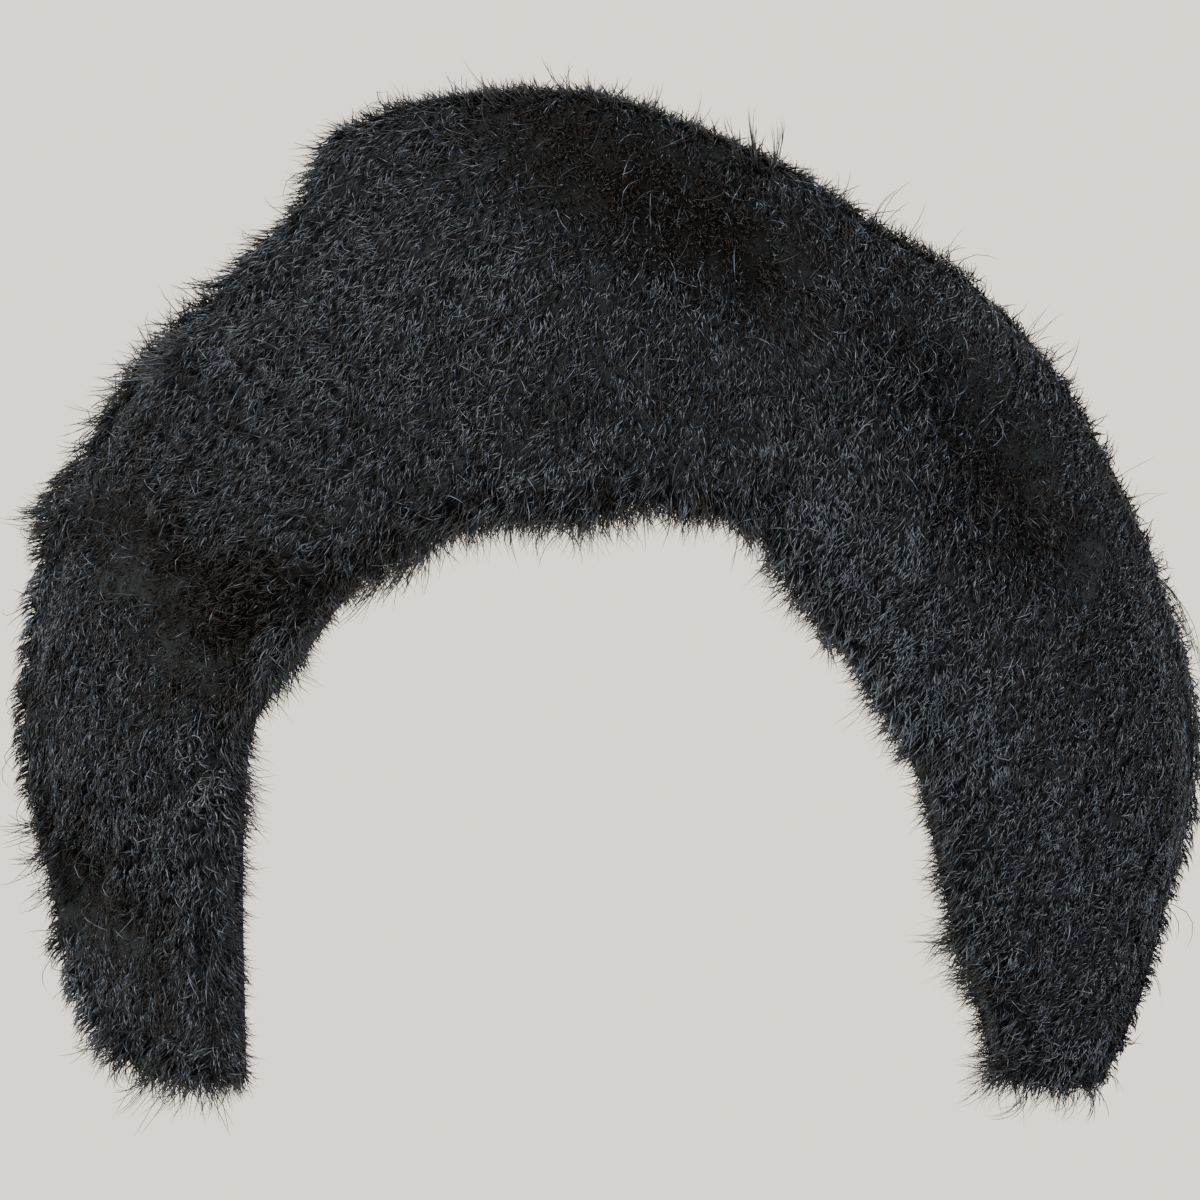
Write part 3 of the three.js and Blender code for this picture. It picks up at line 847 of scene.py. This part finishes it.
for name, short_lot, long_lot in zip(PIECES, share_round_arch(short), share_round_arch(long)):
    hair_piece(name, [short_lot, long_lot], hair)
fuzz = edge_hairs(EDGE_HAIRS, reach=1.4 * MM, width=0.10 * MM, seed=5)
on_the_left = fuzz[0][:, 0, 0] < 0
hair_piece("edge_fuzz_left", [tuple(part[on_the_left] for part in fuzz)], hair)
hair_piece("edge_fuzz_right", [tuple(part[~on_the_left] for part in fuzz)], hair)
thread = polyester_thread()
hair_piece("net_threads", [
    cut_threads(CUT_THREADS, reach=1.1 * MM, width=0.12 * MM, seed=8),
    thread_loops(THREAD_LOOPS, width=0.13 * MM, steps=9, seed=9),
], thread)


# Hairs that stray: tufts and wisps at the edges, single hairs that hang loose, and a curled knot
STRAY_HAIRS = [
    # root across, root down, tip across, tip down, bow in mm, hairs, spread in mm
    (737, 520, 727, 590, 0.5, 1, 0.0), (566, 528, 541, 553, -0.6, 3, 0.8),
    (560, 528, 576, 556, 0.5, 3, 0.9), (52, 505, 18, 512, 0.4, 34, 0.5),
    (54, 520, 20, 524, 0.5, 22, 0.5), (760, 172, 757, 126, 0.3, 16, 0.4),
    (768, 176, 776, 132, -0.3, 12, 0.4), (748, 168, 728, 128, 0.3, 9, 0.4),
    (206, 298, 186, 281, 0.3, 16, 0.4), (880, 232, 900, 196, 0.5, 5, 0.7),
    (905, 248, 925, 214, -0.4, 4, 0.6), (950, 280, 1012, 256, 1.2, 1, 0.0),
    (940, 274, 958, 240, 0.5, 5, 0.6), (1048, 372, 1064, 345, 0.4, 12, 0.6),
    (1040, 350, 1046, 318, 0.4, 7, 0.6), (1146, 540, 1166, 500, 1.6, 2, 0.4),
    (1130, 500, 1150, 462, 1.0, 2, 0.3), (1180, 700, 1199, 664, 0.8, 3, 0.4),
    (1160, 900, 1176, 952, 1.2, 2, 0.4), (1140, 960, 1160, 1000, 1.0, 2, 0.4),
    (1000, 1080, 966, 1100, 0.7, 6, 0.7), (1030, 1090, 1002, 1112, 0.5, 8, 0.8),
    (1070, 1092, 1060, 1112, 0.5, 6, 0.8), (470, 112, 462, 84, 0.3, 9, 0.5),
    (500, 106, 478, 82, 0.3, 14, 0.6), (536, 102, 518, 82, 0.3, 14, 0.6),
    (572, 100, 560, 80, 0.3, 16, 0.6), (604, 106, 612, 84, -0.3, 10, 0.6),
    (640, 116, 650, 94, -0.3, 10, 0.6), (690, 136, 704, 108, -0.3, 8, 0.6),
    (828, 206, 846, 178, -0.3, 6, 0.6), (330, 142, 300, 152, 0.3, 10, 0.7),
    (318, 168, 288, 186, 0.4, 10, 0.7), (232, 1058, 244, 1060, 0.3, 26, 0.4),
    (228, 1072, 240, 1094, 0.3, 30, 0.5), (206, 1080, 212, 1110, 0.3, 22, 0.9),
    (150, 1068, 128, 1096, 0.4, 24, 1.1), (176, 1076, 160, 1106, 0.4, 24, 1.1),
    (104, 1030, 78, 1050, 0.4, 18, 0.9), (862, 690, 848, 720, 0.5, 3, 0.6),
    (880, 676, 872, 656, 0.4, 2, 0.5), (242, 740, 262, 716, 0.4, 6, 0.4),
    (222, 800, 203, 848, 0.4, 3, 0.4), (228, 796, 222, 852, -0.4, 3, 0.4),
    (460, 500, 440, 560, 0.6, 2, 0.5), (176, 326, 154, 336, 0.3, 30, 1.0),
    (154, 350, 130, 364, 0.3, 40, 1.0), (134, 378, 108, 394, 0.3, 42, 1.0),
    (114, 408, 88, 426, 0.3, 46, 1.0), (98, 438, 73, 452, 0.3, 40, 1.0),
    (42, 822, 17, 828, 0.3, 34, 0.9), (46, 850, 24, 864, 0.3, 34, 0.9),
    (54, 880, 36, 900, 0.3, 28, 0.9), (402, 560, 388, 590, 0.3, 34, 0.9),
    (372, 578, 354, 606, 0.3, 34, 0.9), (422, 546, 413, 573, 0.3, 26, 0.8),
    (745, 526, 751, 553, 0.3, 26, 0.8), (762, 542, 768, 570, 0.3, 24, 0.8),
    (822, 634, 829, 660, 0.3, 18, 0.7), (1088, 1080, 1088, 1102, 0.3, 30, 0.9),
]

# Threads of the net that have come loose and run along its bare edge. Their shades run up to pale grey:
# painted highlight of the light behind them.
LOOSE_THREADS = [
    # root across, root down, tip across, tip down, bow in mm, threads, spread in mm
    (1154, 570, 1196, 664, 0.75, 6, 0.22), (1160, 592, 1194, 668, 0.55, 5, 0.25),
    (1156, 574, 1182, 622, 0.50, 4, 0.25), (1188, 682, 1199, 722, 0.40, 5, 0.22),
]


def on_the_pile(pixel):
    """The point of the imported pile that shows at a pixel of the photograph, or the nearest one to it."""
    ray = ray_through(pixel)
    hit = pile_tree.ray_cast(camera_place, ray)[0]
    if hit is None:
        hit = camera_place + CAMERA_DISTANCE * ray
        for _ in range(3):
            nearest = pile_tree.find_nearest(hit)[0]
            hit = camera_place + ray * (nearest - camera_place).dot(ray)
        hit = nearest
    return np.array(hit)


def at_the_net_edge(pixel):
    """The point that shows at a pixel of the photograph, as deep as the nearest part of the net's edge."""
    away = np.linalg.norm(in_photo(edge_marks) - pixel, axis=1)
    depth = (edge_marks[away.argmin()] - np.array(camera_place)) @ -view_back
    ray = np.array(ray_through(pixel))
    return np.array(camera_place) + ray * depth / (ray @ -view_back)


def stray_hairs(table, root_place, width, steps, seed):
    """Hairs or threads from a table. They start where root_place puts the pixel of their root."""
    random = np.random.default_rng(seed)
    paths, normals, shades = [], [], []
    shares = np.linspace(0, 1, steps)[:, None]
    for root_across, root_down, tip_across, tip_down, bow, hairs, spread in table:
        root = root_place((root_across, root_down))
        ray = np.array(ray_through((tip_across, tip_down)))
        depth = (root - np.array(camera_place)) @ -view_back
        tip = np.array(camera_place) + ray * depth / (ray @ -view_back)
        normal = outwards_at(root[None])[0]
        for _ in range(hairs):
            start = root - 0.8 * MM * normal + 0.5 * spread * MM * random.normal(size=3)
            end = tip + spread * MM * random.normal(size=3) + (tip - root) * 0.25 * random.normal()
            aside = np.cross(end - start, -view_back)
            aside /= np.linalg.norm(aside)
            bowed = bow * MM * (1 + 0.4 * random.normal()) * aside + 0.4 * MM * normal
            paths.append(start + shares * (end - start) + 4 * shares * (1 - shares) * bowed)
            normals.append(normal)
            shades.append(random.uniform(0.2, 0.85))
    widths = width * np.linspace(1, 0.6, steps - 1) * np.ones((len(paths), 1))
    return np.array(paths), widths, np.array(normals), np.array(shades)


def loose_hairs(count, reach, width, steps, seed):
    """Single longer hairs that stand proud of the pile, here and there all over it."""
    random = np.random.default_rng(seed)
    roots, normals = scatter(net_front, count, random)
    height = pile_height(roots, normals)
    kept = height > 2 * MM
    roots, normals, height = roots[kept], normals[kept], height[kept]
    count = len(roots)
    headings = heading_at(normals, lie_at(roots) + 0.9 * random.normal(size=count))
    reaches = reach * random.uniform(0.5, 1.3, count)
    shares = np.linspace(0, 1, steps)
    bend = 0.8 * random.normal(size=(count, 1)) * reaches[:, None] * np.cross(normals, headings)
    climb = 0.4 * height + random.uniform(0.1, 1.1, count) * MM
    paths = (
        (roots + 0.55 * normals * height[:, None])[:, None]
        + (headings * reaches[:, None])[:, None] * shares[:, None]
        + bent(bend, shares)
        + normals[:, None] * climb[:, None, None] * np.sin(0.75 * np.pi * shares)[:, None]
    )
    widths = width * np.linspace(1, 0.6, steps - 1) * np.ones((count, 1))
    return paths, widths, normals, random.uniform(0.5, 0.95, count)


# The knot of curled ends, low on one tail: a table of its curls
CURLS = [
    # across, down, turns, radius in mm, spread in mm, hairs
    (190, 750, 0.9, 0.9, 0.15, 3), (200, 764, -0.8, 0.7, 0.15, 2), (182, 738, 0.7, 0.6, 0.1, 2),
    (212, 784, 1.1, 0.6, 0.4, 5), (224, 792, -1.2, 0.5, 0.4, 5), (206, 798, 0.9, 0.7, 0.4, 4),
    (230, 776, 0.8, 0.5, 0.4, 3), (216, 812, -0.6, 1.0, 0.3, 3), (228, 826, 0.5, 1.4, 0.3, 2),
    (198, 806, 1.0, 0.4, 0.3, 3),
]


def curled_hairs(width, steps, seed):
    """A few melted ends that have sprung into loose, uneven curls, low on one tail."""
    random = np.random.default_rng(seed)
    paths, normals, shades = [], [], []
    for across, down, turns, radius, spread, hairs in CURLS:
        centre = on_the_pile((across, down))
        normal = outwards_at(centre[None])[0]
        sideways = np.cross(normal, [0, 0, 1])
        for _ in range(hairs):
            turning = turns * 2 * np.pi / steps * (1 + 0.7 * random.normal(size=steps))
            heading = np.cumsum(turning) + random.uniform(0, 2 * np.pi)
            step = abs(turns) * 2 * np.pi * radius / steps * MM * random.uniform(0.7, 1.3)
            track = np.cumsum(np.column_stack([np.cos(heading), np.sin(heading)]), axis=0) * step
            track -= track.mean(axis=0)
            place = centre + spread * MM * random.normal(size=3)
            lift = (0.5 + 0.35 * np.sin(np.linspace(0, np.pi * random.uniform(1, 3), steps))) * MM
            lift[[0, -1]] = -0.6 * MM
            middle = place + track[:, :1] * sideways + track[:, 1:] * [0, 0, 1]
            paths.append(middle + lift[:, None] * normal)
            normals.append(normal)
            shades.append(random.uniform(0.6, 0.95))
    widths = width * np.ones((len(paths), steps - 1))
    return np.array(paths), widths, np.array(normals), np.array(shades)


LOOSE_HAIRS = 900
strays = stray_hairs(STRAY_HAIRS, on_the_pile, width=0.11 * MM, steps=6, seed=21)
hair_piece("stray_hairs", [strays], hair)
threads = stray_hairs(LOOSE_THREADS, at_the_net_edge, width=0.1 * MM, steps=9, seed=24)
hair_piece("loose_threads", [threads], thread)
loose = loose_hairs(LOOSE_HAIRS, reach=3.6 * MM, width=0.11 * MM, steps=6, seed=22)
hair_piece("loose_hairs", [loose], hair)
hair_piece("curled_knot", [curled_hairs(width=0.15 * MM, steps=16, seed=23)], sprung_ends())


# A plain pale floor that curves up behind, and soft studio light
FLOOR_LEVEL = -1.0
BACK_WALL = 9.0
WALL_BEND = 4.0
STAGE_REACH = 9.0


def studio_pale():
    """Seamless matt paper, as a studio backdrop."""
    material, tree = new_material("studio_pale")
    shader = add_node(tree, "ShaderNodeBsdfPrincipled", {
        "Base Color": linear("#efe9df"), "Roughness": 0.9,
    })
    finish_material(tree, shader)
    return material


def add_stage():
    turns = np.linspace(0, math.pi / 2, 13)
    profile = [(-STAGE_REACH, 0.0)]
    for turn in turns:
        back = BACK_WALL - WALL_BEND * (1 - math.sin(turn))
        profile.append((back, WALL_BEND * (1 - math.cos(turn))))
    profile.append((BACK_WALL, STAGE_REACH))
    rows = [(side * STAGE_REACH, y, z + FLOOR_LEVEL) for y, z in profile for side in (-1, 1)]
    faces = [(2 * i, 2 * i + 1, 2 * i + 3, 2 * i + 2) for i in range(len(profile) - 1)]
    mesh = bpy.data.meshes.new("floor")
    mesh.from_pydata(rows, [], faces)
    mesh.materials.append(studio_pale())
    for polygon in mesh.polygons:
        polygon.use_smooth = True
    floor = bpy.data.objects.new("floor", mesh)
    bpy.context.scene.collection.objects.link(floor)


def add_soft_light(name, place, size, power, colour, aimed_at=(0, 0, -0.02)):
    bpy.ops.object.light_add(type="AREA", location=place)
    light = bpy.context.object
    light.name = name
    light.data.shape = "SQUARE"
    light.data.size = size
    light.data.energy = power
    light.data.color = linear(colour)[:3]
    light.rotation_euler = (Vector(aimed_at) - Vector(place)).to_track_quat("-Z", "Y").to_euler()


add_camera()
add_stage()
add_soft_light("key_light", (-0.45, -0.75, 0.55), 0.5, 10, "#fffaf2")
add_soft_light("fill_light", (0.65, -0.6, 0.1), 0.6, 4.5, "#eef3ff")
add_soft_light("top_light", (0.05, 0.15, 0.75), 0.5, 2, "#f2f6ff")
add_soft_light("backdrop_light", (0, 3, 6), 4.0, 450, "#fff8ec", aimed_at=(0, 9, 1))
world = bpy.data.worlds.new("studio")
world.use_nodes = True
background = world.node_tree.nodes["Background"]
background.inputs["Color"].default_value = linear("#eef0f2")
background.inputs["Strength"].default_value = 1.36
bpy.context.scene.world = world
